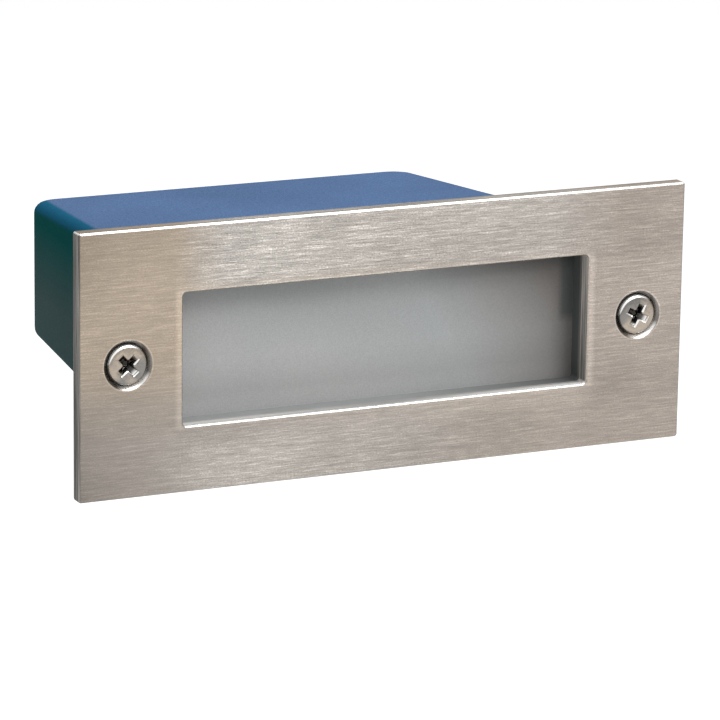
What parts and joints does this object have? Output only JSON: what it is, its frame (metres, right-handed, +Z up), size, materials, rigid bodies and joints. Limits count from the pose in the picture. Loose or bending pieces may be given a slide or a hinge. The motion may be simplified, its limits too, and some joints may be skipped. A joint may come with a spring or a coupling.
{
  "type": "step light",
  "caption": "Recessed wall and step light: brushed face plate with a long window, frosted glass set back, deep tapered housing with lamp and wiring.",
  "frame": {"origin": "centre of the face plate's back rim, in the plane of the wall's face", "axes": "+X along the plate to the right as seen from the front, +Y into the wall, +Z up"},
  "size_m": [0.17, 0.1273, 0.069],
  "materials": {
    "brushed_plate": "stainless steel, brushed along its length",
    "nickel_screw": "bright nickel",
    "black_rubber": "matt",
    "grey_silicone": "satin",
    "white_nylon": "natural nylon",
    "frosted_glass": "frosted on both faces",
    "blue_housing": "moulded, fine texture",
    "brass": "turned",
    "white_reflector": "white gloss paint on aluminium",
    "zinc_steel": "zinc plated",
    "ceramic": "glazed ceramic",
    "solder": "tinned",
    "black_glass": "vitrified",
    "nickel_cap": "nickel plated",
    "clear_glass": "clear",
    "filament": "phosphor coated rods on a glass stem",
    "brown_wire": "insulated",
    "blue_wire": "insulated",
    "green_wire": "insulated, green and yellow",
    "tinned_copper": "tinned",
    "grey_nylon": "moulded"
  },
  "bodies": {
    "housing": {"recess_housing": "blue_housing", "brass_inserts": "brass", "reflector": "white_reflector", "lamp_bracket": "zinc_steel", "bracket_screws": "zinc_steel", "lamp_holder_body": "ceramic", "lamp_holder_shell": "brass", "lamp_holder_contact": "brass", "lamp_holder_screws": "zinc_steel", "terminal_block": "white_nylon", "terminal_clamps": "brass", "clamp_screws": "zinc_steel", "block_screws": "zinc_steel", "live_wire": "brown_wire", "neutral_wire": "blue_wire", "earth_wire": "green_wire", "earth_tag": "tinned_copper", "earth_screw": "zinc_steel", "wire_grommets": "black_rubber", "gland_body": "grey_nylon", "gland_washer": "black_rubber", "gland_seal": "black_rubber", "gland_locknut": "grey_nylon", "blanking_plug": "grey_nylon", "blanking_plug_washer": "black_rubber", "blanking_plug_locknut": "grey_nylon"},
    "plate": {"face_plate": "brushed_plate", "plate_gasket": "black_rubber", "screw_seals": "black_rubber", "screw_retainers": "white_nylon"},
    "screw_left": {"face_screw_left": "nickel_screw"},
    "screw_right": {"face_screw_right": "nickel_screw"},
    "glass": {"diffuser_glass": "frosted_glass", "glass_gasket": "grey_silicone"},
    "lamp": {"lamp_contact": "solder", "lamp_insulator": "black_glass", "lamp_cap": "nickel_cap", "lamp_bulb": "clear_glass", "lamp_filament": "filament"},
    "gland_nut": {"gland_nut": "grey_nylon"}
  },
  "joints": [
    {"name": "plate_lift", "type": "slide", "parent": "housing", "child": "plate", "axis": [0, -1, 0], "range_m": [0, 0.08]},
    {"name": "face_screw_left_turn", "type": "hinge", "parent": "plate", "child": "screw_left", "pos_m": [-0.0718, 0, 0], "axis": [0, 1, 0], "continuous": true},
    {"name": "face_screw_right_turn", "type": "hinge", "parent": "plate", "child": "screw_right", "pos_m": [0.0718, 0, 0], "axis": [0, 1, 0], "continuous": true},
    {"name": "glass_lift", "type": "slide", "parent": "housing", "child": "glass", "axis": [0, -1, 0], "range_m": [0, 0.04]},
    {"name": "lamp_turn", "type": "hinge", "parent": "housing", "child": "lamp", "pos_m": [0, 0.033, 0], "axis": [1, 0, 0], "continuous": true},
    {"name": "gland_nut_turn", "type": "hinge", "parent": "housing", "child": "gland_nut", "pos_m": [0.028, 0.117, 0], "axis": [0, 1, 0], "continuous": true}
  ],
  "couplings": [
    {"joint": "glass_lift", "follows": "plate_lift", "ratio": 0.5}
  ]
}
